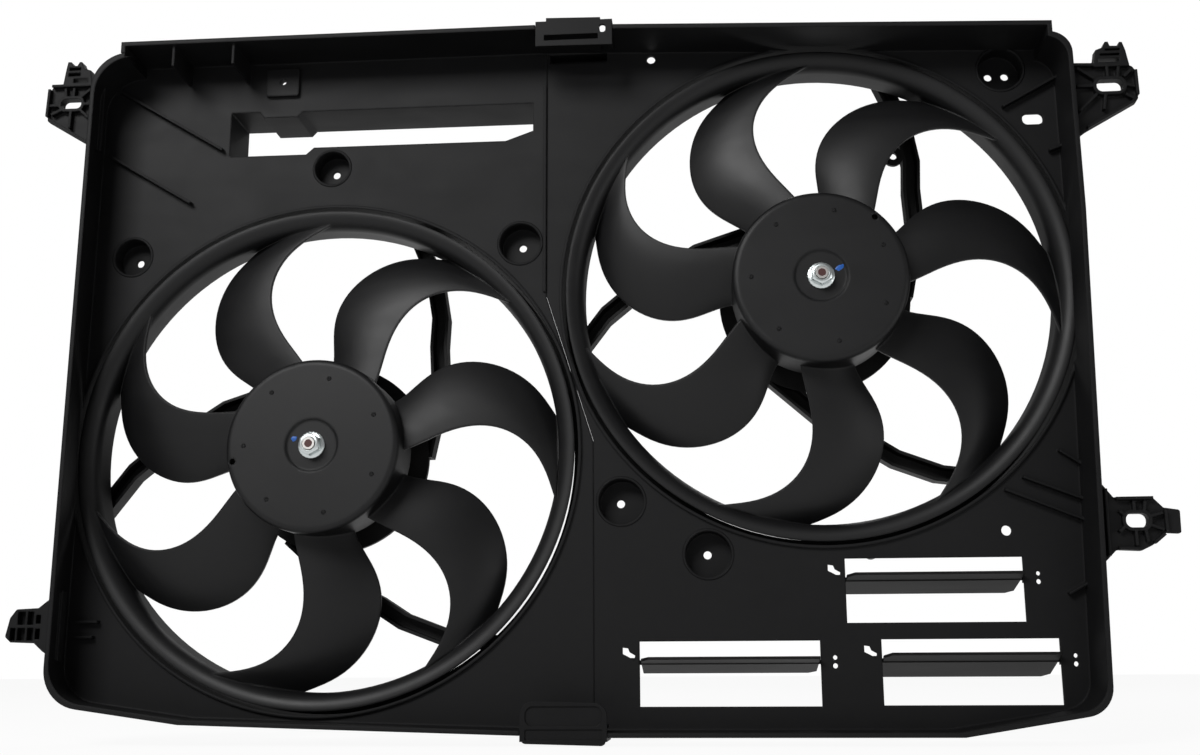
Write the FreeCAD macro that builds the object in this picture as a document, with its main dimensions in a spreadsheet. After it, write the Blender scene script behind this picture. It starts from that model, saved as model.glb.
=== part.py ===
import FreeCAD, Part
import math
import os

import Sketcher

# Twin radiator cooling fan: a two piece moulded shroud with two banded fans, their motors
# on strutted carriers behind, and three ram air flaps.
# X runs to the right and Z up as seen from the radiator, and Y runs away from the radiator.
# The origin is in the plane of the sealing rim, at the middle of its width and 240 mm below its top.

V = FreeCAD.Vector
doc = FreeCAD.newDocument("radiator_fan")
sheet = doc.addObject("Spreadsheet::Sheet", "Sizes")


class Size:
    """A number together with the sheet formula that gives it."""

    def __init__(self, value, formula):
        self.value = float(value)
        self.formula = formula

    def mix(self, other, sign, result):
        other = as_size(other)
        return Size(result(self.value, other.value), "(%s %s %s)" % (self.formula, sign, other.formula))

    def __add__(self, other):
        return self.mix(other, "+", lambda a, b: a + b)

    def __sub__(self, other):
        return self.mix(other, "-", lambda a, b: a - b)

    def __mul__(self, other):
        return self.mix(other, "*", lambda a, b: a * b)

    def __truediv__(self, other):
        return self.mix(other, "/", lambda a, b: a / b)

    def __radd__(self, other):
        return as_size(other) + self

    def __rsub__(self, other):
        return as_size(other) - self

    def __rmul__(self, other):
        return as_size(other) * self

    def __neg__(self):
        return as_size(0) - self


def as_size(number):
    return number if isinstance(number, Size) else Size(number, "(%.9g)" % number)


def cosine(degrees):
    degrees = as_size(degrees)
    return Size(math.cos(math.radians(degrees.value)), "cos(%s * 1deg)" % degrees.formula)


def sine(degrees):
    degrees = as_size(degrees)
    return Size(math.sin(math.radians(degrees.value)), "sin(%s * 1deg)" % degrees.formula)


def root(size):
    return Size(math.sqrt(size.value), "sqrt(%s)" % size.formula)


row = 0


def size(alias, value, note):
    """Write one driving dimension into the sheet and return it."""
    global row
    row += 1
    sheet.set("A%d" % row, note)
    sheet.set("B%d" % row, str(value))
    sheet.setAlias("B%d" % row, alias)
    return Size(value, "Sizes.%s" % alias)


def bind(thing, prop, amount):
    """Tie a property to the sheet."""
    thing.setExpression(prop, as_size(amount).formula)


# Shroud outline and walls
fan_reach = size("fan_reach", 168, "half the distance between the fan axes, along X")
fan_rise = size("fan_rise", 53.25, "half the distance between the fan axes, along Z")
fans_x = size("fans_x", -2, "middle of the two fan axes, along X")
fans_z = size("fans_z", 4.75, "middle of the two fan axes, along Z")
rim_half = size("rim_half", 336, "half width over the rim")
rim_top = size("rim_top", 240, "top of the rim above the datum")
rim_bottom = size("rim_bottom", 234.5, "bottom of the rim below the datum")
rim_depth = size("rim_depth", 38, "height of the rim in front of the floor")
rim_wall = size("rim_wall", 3, "rim wall")
floor_wall = size("floor_wall", 2.5, "floor of the shroud")
top_fall = size("top_fall", 12, "fall of the top edge over the right half")
side_draw = size("side_draw", 8, "inward draw of the right side at its foot")
side_lean = size("side_lean", 8, "outward lean of the left side from the rim plane to the floor")
corner_round = size("corner_round", 26, "outline corner radius")
lip_step = size("lip_step", 8, "top lip above the corner arcs")
lip_inset = size("lip_inset", 20, "end of the top lip, in from the side")
bottom_sag = size("bottom_sag", 8, "rise of the bottom edge at the left corner")
seam_top_x = size("seam_top_x", -18.5, "seam above the fans")
seam_foot_x = size("seam_foot_x", 13.5, "seam below the fans")
seam_gap = size("seam_gap", 0.2, "gap between the two shroud mouldings")

# Barrels round the fans
barrel_bore = size("barrel_bore", 173.5, "radius of the opening round each fan")
barrel_wall = size("barrel_wall", 2, "barrel wall")
barrel_lip = size("barrel_lip", 2, "barrel lip in front of the floor")
barrel_depth = size("barrel_depth", 30, "barrel behind the front of the floor")
bulge_front = size("bulge_front", 10, "length of the bulge of the rim's side round a fan, in front of the floor")
lug_radius = size("lug_radius", 5, "radius of the screw lugs on the barrel")
lug_offset = size("lug_offset", 2.6, "screw circle outside the barrel")
lug_depth = size("lug_depth", 9, "length of the screw lugs")
tongue_lap = size("tongue_lap", 1.1, "lap of the left floor behind the right one at the seam")
tongue_wall = size("tongue_wall", 1.5, "thickness of that lap")

# Fan rotor
tip_gap = size("tip_gap", 2.6, "gap between the band lip and the barrel")
lip_flare = size("lip_flare", 11.6, "flare of the band lip")
band_wall = size("band_wall", 3, "wall of the band")
band_depth = size("band_depth", 26, "length of the band")
band_set = size("band_set", 2.5, "band lip in front of the floor")
hub_radius = size("hub_radius", 58, "hub radius")
hub_wall = size("hub_wall", 3.5, "hub wall")
hub_face = size("hub_face", 8, "hub face behind the rim plane")
hub_depth = size("hub_depth", 39, "hub length")
hub_edge = size("hub_edge", 4, "rounding of the hub edge")
dish_radius = size("dish_radius", 16.5, "dish round the nut")
dish_depth = size("dish_depth", 1.5, "depth of that dish")
boss_radius = size("boss_radius", 12, "hub boss on the shaft")
boss_depth = size("boss_depth", 7, "length of the hub boss")
blade_count = size("blade_count", 7, "blades")
blade_wall = size("blade_wall", 2.4, "blade thickness")
blade_camber = size("blade_camber", 3.5, "blade camber")
blade_pitch = size("blade_pitch", 7.5, "half the axial length of a blade section")
blade_root = size("blade_root", 25.5, "middle of the blade roots behind the hub face")
blade_tip = size("blade_tip", 11.5, "middle of the blade tips behind the band lip")
blade_bite = size("blade_bite", 0.4, "sink of the blade tips into the band")
balance_hole = size("balance_hole", 2, "radius of the balancing hole")

# Shaft, nut and bearings
shaft_radius = size("shaft_radius", 4, "shaft radius")
shaft_end = size("shaft_end", 1, "front end of the shaft behind the rim plane")
shaft_length = size("shaft_length", 96, "shaft length")
running_gap = size("running_gap", 0.03, "clearance of the shaft in its bushes")
seat_gap = size("seat_gap", 0.05, "clearance of screws and pressed-on pieces")
nut_flange = size("nut_flange", 8.95, "radius of the nut flange")
nut_flange_wall = size("nut_flange_wall", 2, "thickness of the nut flange")
nut_height = size("nut_height", 7.8, "nut height with its flange")
nut_flats = size("nut_flats", 13, "nut across flats")
bush_radius = size("bush_radius", 8, "outside radius of a bush")
bush_length = size("bush_length", 11, "bush length")

# Motor
can_radius = size("can_radius", 46, "motor can radius")
can_wall = size("can_wall", 1.5, "motor can wall")
can_front = size("can_front", 21, "front of the can behind the rim plane")
can_length = size("can_length", 65, "motor can length")
nose_radius = size("nose_radius", 11, "bearing nose of the can")
nose_reach = size("nose_reach", 4, "bearing nose in front of the can")
mount_radius = size("mount_radius", 55.4, "radius of the can's mounting flange")
mount_wall = size("mount_wall", 2, "thickness of that flange")
cover_wall = size("cover_wall", 2.5, "end cover")
magnet_wall = size("magnet_wall", 6, "magnet thickness")
magnet_length = size("magnet_length", 36, "magnet length")
magnet_arc = size("magnet_arc", 68, "arc of one magnet in degrees")
air_gap = size("air_gap", 0.8, "air gap between magnets and armature")
stack_length = size("stack_length", 32, "length of the armature stack")
winding_length = size("winding_length", 5.5, "overhang of the winding")
commutator_radius = size("commutator_radius", 12, "commutator radius")
commutator_length = size("commutator_length", 10, "commutator length")
card_wall = size("card_wall", 2, "brush card")
brush_width = size("brush_width", 7, "brush width")
brush_length = size("brush_length", 13, "brush length")
brush_gap = size("brush_gap", 0.3, "gap between a brush and the commutator")
socket_width = size("socket_width", 24, "terminal socket width")
socket_height = size("socket_height", 14, "terminal socket height")
socket_depth = size("socket_depth", 12, "terminal socket depth")
socket_wall = size("socket_wall", 1.8, "terminal socket wall")
pin_wide = size("pin_wide", 5, "terminal blade width")
pin_wall = size("pin_wall", 0.8, "terminal blade thickness")

# Motor carriers
carrier_bore = size("carrier_bore", 168, "inside radius of the carrier ring")
carrier_wall = size("carrier_wall", 3.5, "thickness of the carrier ring")
strut_wide = size("strut_wide", 12, "strut width")
strut_rail = size("strut_rail", 2.2, "strut rails")
strut_depth = size("strut_depth", 13, "strut depth")
strut_offset = size("strut_offset", 62, "distance of a strut from the fan axis")
mount_ring = size("mount_ring", 66, "outside radius of the motor ring")
mount_ring_wall = size("mount_ring_wall", 4, "thickness of the motor ring")
screw_radius = size("screw_radius", 2, "screw shank radius")
screw_head = size("screw_head", 3.2, "screw head radius")
screw_head_height = size("screw_head_height", 2.8, "screw head height")
motor_screw_circle = size("motor_screw_circle", 51, "radius of the motor screws")

# Flaps
window_height = size("window_height", 41, "flap window height")
flap_drop = size("flap_drop", 13.3, "hinge line below the window's top edge")
flap_line = size("flap_line", 5, "hinge line behind the front of the floor")
flap_wall = size("flap_wall", 1.8, "flap thickness")
flap_tilts = {
    "upper": size("flap_tilt_upper", 14, "fall of the upper flap behind its hinge, in degrees"),
    "lower_left": size("flap_tilt_lower_left", 12, "fall of the lower left flap, in degrees"),
    "lower_right": size("flap_tilt_lower_right", 19, "fall of the lower right flap, in degrees"),
}
flap_gap = size("flap_gap", 0.8, "gap between flap and window")
flap_lap = size("flap_lap", 1.5, "lap of the flap behind the window's foot")
flap_cut = size("flap_cut", 5, "cut corners of a flap")
pivot_radius = size("pivot_radius", 1.5, "flap pivot radius")
pivot_length = size("pivot_length", 5, "flap pivot length")
pivot_gap = size("pivot_gap", 0.05, "running clearance of a flap pivot")
holder_wide = size("holder_wide", 6, "pivot holder")
holder_gap = size("holder_gap", 0.4, "gap between a flap and its pivot holders")

# Small forms
rib_wall = size("rib_wall", 1.8, "rib thickness")
rib_height = size("rib_height", 5, "rib height")
cup_depth = size("cup_depth", 13, "depth of the screw cups")
cup_wall = size("cup_wall", 2, "wall of the screw cups")
cup_hole = size("cup_hole", 2.7, "radius of the holes in the cups")
slot_wall = size("slot_wall", 2.5, "wall round the long slot")
slot_depth = size("slot_depth", 38, "depth of the long slot's wall")
bracket_set = size("bracket_set", 18, "brackets behind the rim plane")
bracket_wall = size("bracket_wall", 3, "bracket plate")
bracket_rib = size("bracket_rib", 4, "height of the bracket ribs in front of the plate")
clip_wall = size("clip_wall", 2, "seam clip wall")
clip_face = size("clip_face", 2.2, "face of a seam clip")
clip_seat = size("clip_seat", 0.3, "gap between a seam clip and the rim")
clip_depth = size("clip_depth", 34, "length of a seam clip over the rim")
recess_depth = size("recess_depth", 12, "depth of the recess behind the top seam clip")
doc.recompute()

floor_front = rim_depth
floor_back = rim_depth + floor_wall
barrel_outer = barrel_bore + barrel_wall
barrel_back = rim_depth + barrel_depth
carrier_back = barrel_back + carrier_wall
carrier_screw_circle = barrel_outer + lug_offset
fans = {"left": (fans_x - fan_reach, fans_z - fan_rise), "right": (fans_x + fan_reach, fans_z + fan_rise)}


def body(label):
    made = doc.addObject("PartDesign::Body", label)
    made.Label = label
    return made


def origin_plane(owner, role):
    return [part for part in owner.Origin.OriginFeatures if part.Role == role][0]


def sketch(owner, role, offset=0):
    """A sketch on one of the body's own planes, offset along that plane's normal."""
    made = owner.newObject("Sketcher::SketchObject", owner.Label + "_sketch")
    made.AttachmentSupport = [(origin_plane(owner, role), "")]
    made.MapMode = "FlatFace"
    bind(made, "AttachmentOffset.Base.z", offset)
    return made


class Drawing:
    """Collects the lines and constraints of a sketch, then ties them to the sheet."""

    def __init__(self, target):
        self.target = target
        self.geometry = []
        self.construction = []
        self.constraints = []
        self.formulas = []

    def add(self, shape):
        self.geometry.append(shape)
        return len(self.geometry) - 1

    def tie(self, kind, *args):
        amount = args[-1] if isinstance(args[-1], Size) else None
        plain = [a.value if isinstance(a, Size) else a for a in args]
        self.constraints.append(Sketcher.Constraint(kind, *plain))
        if amount is not None:
            self.formulas.append((len(self.constraints) - 1, amount.formula))

    def place(self, index, spot, across, up):
        self.tie("DistanceX", -1, 1, index, spot, as_size(across))
        self.tie("DistanceY", -1, 1, index, spot, as_size(up))

    def circle(self, across, up, radius):
        across, up, radius = as_size(across), as_size(up), as_size(radius)
        index = self.add(Part.Circle(V(across.value, up.value, 0), V(0, 0, 1), radius.value))
        self.place(index, 3, across, up)
        self.tie("Radius", index, radius)

    def outline(self, corners):
        """Closed outline. A corner is (across, up) or (across, up, radius)."""
        points = [V(as_size(c[0]).value, as_size(c[1]).value, 0) for c in corners]
        count = len(corners)
        starts, ends, arcs = [None] * count, [None] * count, [None] * count
        for i, corner in enumerate(corners):
            before = (points[i - 1] - points[i]).normalize()
            after = (points[(i + 1) % count] - points[i]).normalize()
            if len(corner) < 3:
                starts[i] = ends[i] = points[i]
                continue
            radius = as_size(corner[2]).value
            half = before.getAngle(after) / 2
            reach = radius / math.tan(half)
            ends[i] = points[i] + before * reach
            starts[i] = points[i] + after * reach
            centre = points[i] + (before + after).normalize() * (radius / math.sin(half))
            arcs[i] = (centre, radius, before.cross(after).z < 0)
        lines = []
        for i in range(count):
            lines.append(self.add(Part.LineSegment(starts[i], ends[(i + 1) % count])))
        for i, corner in enumerate(corners):
            if arcs[i] is None:
                self.tie("Coincident", lines[i - 1], 2, lines[i], 1)
                self.place(lines[i], 1, corner[0], corner[1])
                continue
            centre, radius, turns_left = arcs[i]
            first, last = (ends[i], starts[i]) if turns_left else (starts[i], ends[i])
            start_angle = math.atan2(first.y - centre.y, first.x - centre.x)
            end_angle = math.atan2(last.y - centre.y, last.x - centre.x)
            circle = Part.Circle(centre, V(0, 0, 1), radius)
            arc = self.add(Part.ArcOfCircle(circle, start_angle, end_angle))
            near, far = (1, 2) if turns_left else (2, 1)
            self.tie("Tangent", lines[i - 1], 2, arc, near)
            self.tie("Tangent", arc, far, lines[i], 1)
            self.tie("Radius", arc, as_size(corner[2]))
            mark = self.add(Part.Point(points[i]))
            self.construction.append(mark)
            self.tie("PointOnObject", mark, 1, lines[i - 1])
            self.tie("PointOnObject", mark, 1, lines[i])
            self.place(mark, 1, corner[0], corner[1])

    def finish(self):
        self.target.addGeometry(self.geometry, False)
        for index in self.construction:
            self.target.setConstruction(index, True)
        self.target.addConstraint(self.constraints)
        for index, formula in self.formulas:
            self.target.setExpression("Constraints[%d]" % index, formula)
        return self.target


def front_sketch(owner, front, outlines, circles):
    """Sketch seen from the radiator, in the plane at the given distance behind the rim."""
    drawing = Drawing(sketch(owner, "XZ_Plane", -front))
    for corners in outlines:
        drawing.outline(corners)
    for across, up, radius in circles:
        drawing.circle(across, up, radius)
    return drawing.finish()


def add(owner, front, depth, outlines=(), circles=()):
    """Material from the front plane towards the back."""
    made = owner.newObject("PartDesign::Pad", owner.Label + "_pad")
    made.Profile = front_sketch(owner, as_size(front), outlines, circles)
    made.Reversed = True
    made.Refine = False
    bind(made, "Length", depth)
    return made


def cut(owner, front, depth, outlines=(), circles=(), taper=None):
    """A pocket from the front plane towards the back."""
    made = owner.newObject("PartDesign::Pocket", owner.Label + "_pocket")
    made.Profile = front_sketch(owner, as_size(front), outlines, circles)
    made.Refine = False
    bind(made, "Length", depth)
    if taper is not None:
        made.TaperAngle = taper
    return made


def turned(owner, profile, angle=None):
    """Material turned about the body's Y axis from a profile of (radius, distance back)."""
    drawing = Drawing(sketch(owner, "XY_Plane"))
    drawing.outline(profile)
    made = owner.newObject("PartDesign::Revolution", owner.Label + "_turned")
    made.Profile = drawing.finish()
    made.ReferenceAxis = (made.Profile[0], ["V_Axis"])
    made.Refine = False
    if angle is None:
        made.Angle = 360
    else:
        bind(made, "Angle", angle)
    return made


def around(owner, features, count):
    """Repeat features evenly about the body's Y axis."""
    made = owner.newObject("PartDesign::PolarPattern", owner.Label + "_pattern")
    made.Originals = features
    made.Axis = (origin_plane(owner, "Y_Axis"), [""])
    made.Angle = 360
    made.Refine = False
    bind(made, "Occurrences", count)
    owner.Tip = made
    return made


def put(thing, centre):
    """Move a piece that was built about the origin to its fan's axis."""
    bind(thing, "Placement.Base.x", centre[0])
    bind(thing, "Placement.Base.z", centre[1])


def polar(radius, degrees):
    return radius * cosine(degrees), radius * sine(degrees)


def box(x0, z0, x1, z1, radius=None):
    corners = [(x0, z0), (x1, z0), (x1, z1), (x0, z1)]
    return corners if radius is None else [corner + (radius,) for corner in corners]


def bar(x0, z0, x1, z1, width):
    """A straight strip between two points."""
    along = V(x1 - x0, z1 - z0, 0).normalize()
    side, lift = -along.y * width / 2, along.x * width / 2
    return [(x0 + side, z0 + lift), (x0 - side, z0 - lift), (x1 - side, z1 - lift), (x1 + side, z1 + lift)]


def stadium(x, z, length, height):
    """A slot with nearly round ends, lying along X."""
    return box(x - length / 2, z - height / 2, x + length / 2, z + height / 2, height * 0.45)


# The seam runs down between the fans, square to the line that joins their axes.
seam_slope = fan_rise / fan_reach


def seam(gap):
    """Seam line from top to bottom, moved sideways by half the gap between the mouldings."""
    return [(x + gap, fans_z + (fans_x - x) / seam_slope) for x in (seam_top_x, seam_foot_x)]


def left_outline(inset, past, lean=0):
    """Outline of the left moulding, drawn in by the rim wall or not at all."""
    side = inset - rim_half - lean
    edge = seam(-seam_gap / 2 + past)
    lip_end = lip_inset - rim_half + inset
    return [
        (edge[0][0], rim_top - inset), edge[0], edge[1], (edge[1][0], inset - rim_bottom),
        (side + 90, bottom_sag + inset - rim_bottom), (side, bottom_sag * 2.6 + inset - rim_bottom, corner_round),
        (side, rim_top - lip_step - inset, corner_round),
        (lip_end, rim_top - lip_step - inset), (lip_end, rim_top - inset),
    ]


def right_outline(inset, past):
    """Outline of the right moulding, whose top edge falls and whose side draws in."""
    side = rim_half - inset
    foot = side - side_draw
    edge = seam(seam_gap / 2 - past)
    top_end = rim_top - top_fall - inset
    lip_end = rim_half - lip_inset * 0.6 - inset
    return [
        (edge[0][0], rim_top - inset), (lip_end, top_end), (lip_end, top_end - lip_step),
        (side, top_end - lip_step - 2, corner_round * 0.6),
        (side, rim_top * 0.4), (foot, inset - rim_bottom + bottom_sag * 1.8, corner_round * 0.7),
        (foot - 88, inset - rim_bottom), (edge[1][0], inset - rim_bottom), edge[1], edge[0],
    ]


def loft(owner, kind, front, back):
    """Loft between two outlines, each given as (distance back, corners)."""
    made = owner.newObject("PartDesign::" + kind, owner.Label + "_loft")
    made.Profile = front_sketch(owner, as_size(front[0]), [front[1]], [])
    made.Sections = [front_sketch(owner, as_size(back[0]), [back[1]], [])]
    made.Ruled = True
    made.Refine = False
    return made


def barrel(half, fan, screw_angles, turn, rise):
    """Barrel round the fan with its screw lugs, and the bulge of the rim's side over it."""
    steep = barrel_outer / cosine(rise)
    flat = barrel_outer * cosine(rise) - 0.5
    reach = (steep - flat) / (sine(rise) / cosine(rise))
    add(half, floor_front - bulge_front, bulge_front + floor_wall,
        [[(fan[0] + turn * flat, fan[1] - reach), (fan[0] + turn * steep, fan[1], barrel_outer),
          (fan[0] + turn * flat, fan[1] + reach)]])
    add(half, floor_front - barrel_lip, barrel_depth + barrel_lip, circles=[fan + (barrel_outer,)])
    spots = [polar(carrier_screw_circle, angle) for angle in screw_angles]
    add(half, barrel_back - lug_depth, lug_depth, circles=[(fan[0] + x, fan[1] + z, lug_radius) for x, z in spots])
    cut(half, floor_front - bulge_front + barrel_wall, barrel_depth + bulge_front - barrel_wall,
        circles=[fan + (barrel_bore,)])
    cut(half, barrel_back - lug_depth, lug_depth,
        circles=[(fan[0] + x, fan[1] + z, screw_radius + seat_gap) for x, z in spots])


def screw_cups(half, cups):
    """Cups sunk behind the floor, each (x, z, radius, places of its screw holes)."""
    deep = cup_depth + cup_wall
    add(half, floor_front, deep, circles=[(x, z, radius + cup_wall) for x, z, radius, holes in cups])
    cut(half, floor_front, cup_depth, circles=[(x, z, radius) for x, z, radius, holes in cups])
    cut(half, floor_front, deep, circles=[(x, z, cup_hole) for cup in cups for x, z in cup[3]])


def ribs(half, strips, front=None, height=None):
    """Low ribs standing on the floor, or between two given planes. They lie clear of each other."""
    height = rib_height if height is None else height
    front = floor_front - height if front is None else front
    add(half, front, height, [bar(x0, z0, x1, z1, rib_wall) for x0, z0, x1, z1 in strips])


carrier_screw_angles = {"left": (100, 145, 215, 320), "right": (280, 325, 35, 140)}


def bracket(half, plate, slot, strips):
    """Side bracket: a plate with a collared slot, and ribs that stand on its front."""
    x, z, length, height = slot
    add(half, bracket_set, bracket_wall, [plate])
    ribs(half, strips, bracket_set - bracket_rib, bracket_rib)
    add(half, bracket_set - bracket_rib, bracket_rib, [stadium(x, z, length + 4, height + 4)])
    cut(half, bracket_set - bracket_rib, bracket_rib + bracket_wall, [stadium(x, z, length, height)])


def seam_notches(half):
    """Places in the edge of the rim where the seam clips lie flush."""
    cut(half, 0, clip_face + clip_seat,
        [box(x0 - clip_seat, near, x1 + clip_seat, far) for x0, x1, near, far in clip_places])


# Left end, right end, and the two limits of each seam clip's notch
clip_places = ((-22.4, 30.4, 225, 250), (-29.6, 24.4, -250, -225))


# Left moulding of the shroud
left = body("shroud_left_panel")
floor_lean = side_lean * (floor_back / rim_depth)
loft(left, "AdditiveLoft", (0, left_outline(as_size(0), as_size(0))),
     (floor_back, left_outline(as_size(0), as_size(0), floor_lean)))
loft(left, "SubtractiveLoft", (0, left_outline(rim_wall, as_size(1))),
     (floor_front, left_outline(rim_wall, as_size(1), side_lean)))
barrel(left, fans["left"], carrier_screw_angles["left"], -1, 13)
laps = ((78, 226, seam_top_x), (-230, -72, seam_foot_x))
add(left, floor_back - 1, 1 + seam_gap + tongue_wall, [box(x - 7, low, x - seam_gap, high) for low, high, x in laps])
add(left, floor_back + seam_gap, tongue_wall, [box(x - 4, low, x + tongue_lap, high) for low, high, x in laps])
add(left, floor_front - 1.5, 1.5, [box(seam_top_x - 2.3, 60, seam_top_x - 0.3, 212)])
slot_edge = [(-247.5, 166.5), (-191.5, 166.5), (-186, 171.5), (-48, 171.5), (-28.5, 178.5),
             (-28.5, 199.3), (-195.5, 199.3), (-199, 195.5), (-223.5, 195.5), (-227, 200), (-247.5, 200)]
slot_collar = [(-247.5 - slot_wall, 166.5 - slot_wall), (-190.4, 166.5 - slot_wall),
               (-185, 171.5 - slot_wall), (-47.6, 171.5 - slot_wall), (-28.5 + slot_wall, 177),
               (-28.5 + slot_wall, 199.3 + slot_wall), (-196.5, 199.3 + slot_wall),
               (-200, 195.5 + slot_wall), (-222.4, 195.5 + slot_wall), (-226, 200 + slot_wall),
               (-247.5 - slot_wall, 200 + slot_wall)]
add(left, floor_front, slot_depth, [slot_collar])
cut(left, floor_front, slot_depth, [slot_edge])
screw_cups(left, [(-313.6, 93.5, 13, [(-313.4, 92.5)]), (-172, 155.4, 12.2, [(-172.3, 154.8)]),
                  (-37, 95.6, 14.2, [(-36.7, 95.8)])])
ribs(left, [(-331, 219, -251.5, 170.7), (-333, 168, -272.6, 131.4), (-333.5, -161, -318, -161),
            (-333.5, -171, -321, -171)])
ribs(left, [(-279, 222, -279, 238), (-236, 222, -236, 238)], rim_wall, rim_depth - rim_wall)
add(left, floor_front - 3, 3, [box(-222, 210.7, -198, 232, 2)])
cut(left, floor_front - 3, floor_wall + 3, circles=[(-209.6, 221.3, 2.2)])
bracket(left, [(-334, 216.4), (-373.2, 216.4, 3), (-374.8, 190.2, 2.5), (-342.4, 170.6), (-334, 166)],
        (-356.3, 201.3, 14.8, 7.6),
        [(-373.2, 213, -373.8, 192.5), (-371.5, 215.4, -338, 215.4), (-371.8, 189.8, -343, 172.2),
         (-361.2, 213.2, -360.6, 206), (-354.9, 213.2, -355.2, 206), (-372, 200.5, -364, 200.5),
         (-370.6, 193.6, -363.5, 197), (-356.5, 183.2, -356.3, 196.5), (-342, 201, -349, 201),
         (-343, 190.5, -350, 197), (-343, 212, -350, 206)])
add(left, bracket_set - bracket_rib, bracket_rib + bracket_wall,
    [[(-363.4, 215), (-361.8, 228), (-360.9, 233.2), (-358.6, 233.2), (-357.2, 230.2), (-353.8, 230.2),
      (-352.4, 233), (-350.8, 233), (-348.5, 227.8), (-343.6, 226.2), (-342, 215)]])
cut(left, bracket_set - bracket_rib, bracket_rib, [box(-360, 222.2, -351.2, 224.8), box(-359.6, 226.6, -351, 229)])
cut(left, bracket_set - bracket_rib, bracket_rib + bracket_wall, [box(-355.9, 217.2, -345.4, 220.3)])
add(left, bracket_set - bracket_rib, bracket_rib + bracket_wall,
    [[(-334, -141), (-344.2, -148.3), (-349.5, -152.6), (-364.2, -153.3, 2), (-368.3, -158.9), (-370.8, -171, 2),
      (-366.8, -174.6), (-350.9, -175.2), (-344.8, -180.5), (-334, -187)]])
cut(left, bracket_set - bracket_rib, bracket_rib + bracket_wall - 1.5,
    [box(-363, -163.3, -357.8, -154.8), box(-356.4, -163.3, -352.2, -154.8), box(-367.6, -173.4, -364, -165.3),
     box(-362.8, -173.4, -357.5, -165.3), box(-356.1, -173.4, -351.9, -165.3), box(-350.6, -162.6, -347.4, -157),
     box(-350.6, -172.6, -347.4, -165.8)])
seam_notches(left)

# Right moulding of the shroud
right = body("shroud_right_panel")
add(right, 0, floor_back, [right_outline(as_size(0), as_size(0))])
cut(right, 0, rim_depth, [right_outline(rim_wall, as_size(1))])
barrel(right, fans["right"], carrier_screw_angles["right"], 1, 16.5)
add(right, floor_front, recess_depth + 1.5, [box(-17.9, 227.4, 25.6, 237.5)])
cut(right, floor_front, recess_depth, [box(-16.6, 228.9, 24, 235.4)])
screw_cups(right, [(31.8, -85, 14.9, [(30.8, -85.2)]), (88.5, -120.3, 15, [(88, -119.9)]),
                   (297, 211.5, 15, [(291.2, 211.5), (302.6, 211.5)])])
windows = {"upper": (176.3, 289, -124), "lower_left": (43, 158.6, -176), "lower_right": (197.3, 308.5, -175.5)}
cut(right, floor_front, floor_wall, [box(x0, top - window_height, x1, top) for x0, x1, top in windows.values()])
pivots = [(x0, x1, top - flap_drop) for x0, x1, top in windows.values()]
lift = holder_wide / 2
add(right, floor_back, flap_line + lift - floor_wall,
    [box(x, line - lift, x + holder_wide, line + lift)
     for x0, x1, line in pivots for x in (x0 - holder_wide - holder_gap, x1 + holder_gap)])
for x0, x1, line in pivots:
    bore = right.newObject("PartDesign::Pocket", "pivot_bore")
    drawing = Drawing(sketch(right, "YZ_Plane", x0 - holder_wide - 2))
    drawing.circle(floor_front + flap_line, line, pivot_radius + pivot_gap)
    bore.Profile = drawing.finish()
    bore.Reversed = True
    bore.Refine = False
    bind(bore, "Length", x1 - x0 + 2 * holder_wide + 4)
# Hooked slots left of the windows, pairs of small holes right of them, and the clip holes
cut(right, floor_front, floor_wall,
    [[(x0 - 11, line + 9.5), (x0 - 7.5, line + 9), (x0 - 6.5, line + 6.5), (x0 - 3, line + 4.5),
      (x0 - 3.5, line + 1.5), (x0 - 8, line + 4), (x0 - 11, line + 5.5)] for x0, x1, line in pivots]
    + [stadium(316.4, 174.2, 14, 8)],
    [(x1 + 9.2, line + shift, radius) for x0, x1, line in pivots for shift, radius in ((2.6, 1.4), (-2.6, 1.6))]
    + [(55.4, 228.9, 3), (280.1, -107.2, 3.3)])
ribs(right, [(333.5, 203, 296, 182.6), (333.5, 153, 325, 149.8), (316.1, -56, 331, -66),
             (292.2, -73, 330, -88), (280.2, -81, 329.5, -101.3), (315.5, -148, 328, -141)])
bracket(right, [(334, 203.2), (378.7, 201.6, 3), (381, 198), (381.2, 178, 2), (379, 174.6), (345.2, 155.6), (339, 151),
                (334, 149)],
        (362.5, 186.4, 17.6, 8.8),
        [(338, 202.2, 376, 200.8), (380.1, 197, 380.3, 179.5), (377.6, 175, 346, 157.4), (342, 199.6, 352, 192.2),
         (341, 186.9, 352, 186.6), (341.5, 169, 353.7, 180.8), (357.5, 169.5, 359.2, 180.5), (372.3, 180.1, 377.2, 176.9),
         (373, 187, 378.6, 185.3), (372, 192.5, 377.8, 198), (361.6, 192.5, 361.4, 200), (368, 192.5, 369, 199.6)])
add(right, bracket_set - bracket_rib, bracket_rib + bracket_wall,
    [[(352.7, 200), (354.8, 211.8), (359.6, 213.6), (361.4, 217.6), (363.4, 217.6), (364.4, 214.6), (369.6, 214.4),
      (370.8, 217.2), (372.6, 217), (374.4, 211), (376.2, 200)]])
cut(right, bracket_set - bracket_rib, bracket_rib, [box(357.5, 207.6, 370.5, 209.4), box(361, 211.2, 371, 212.8)])
cut(right, bracket_set - bracket_rib, bracket_rib + bracket_wall, [box(355.9, 203, 369.9, 206)])
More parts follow.
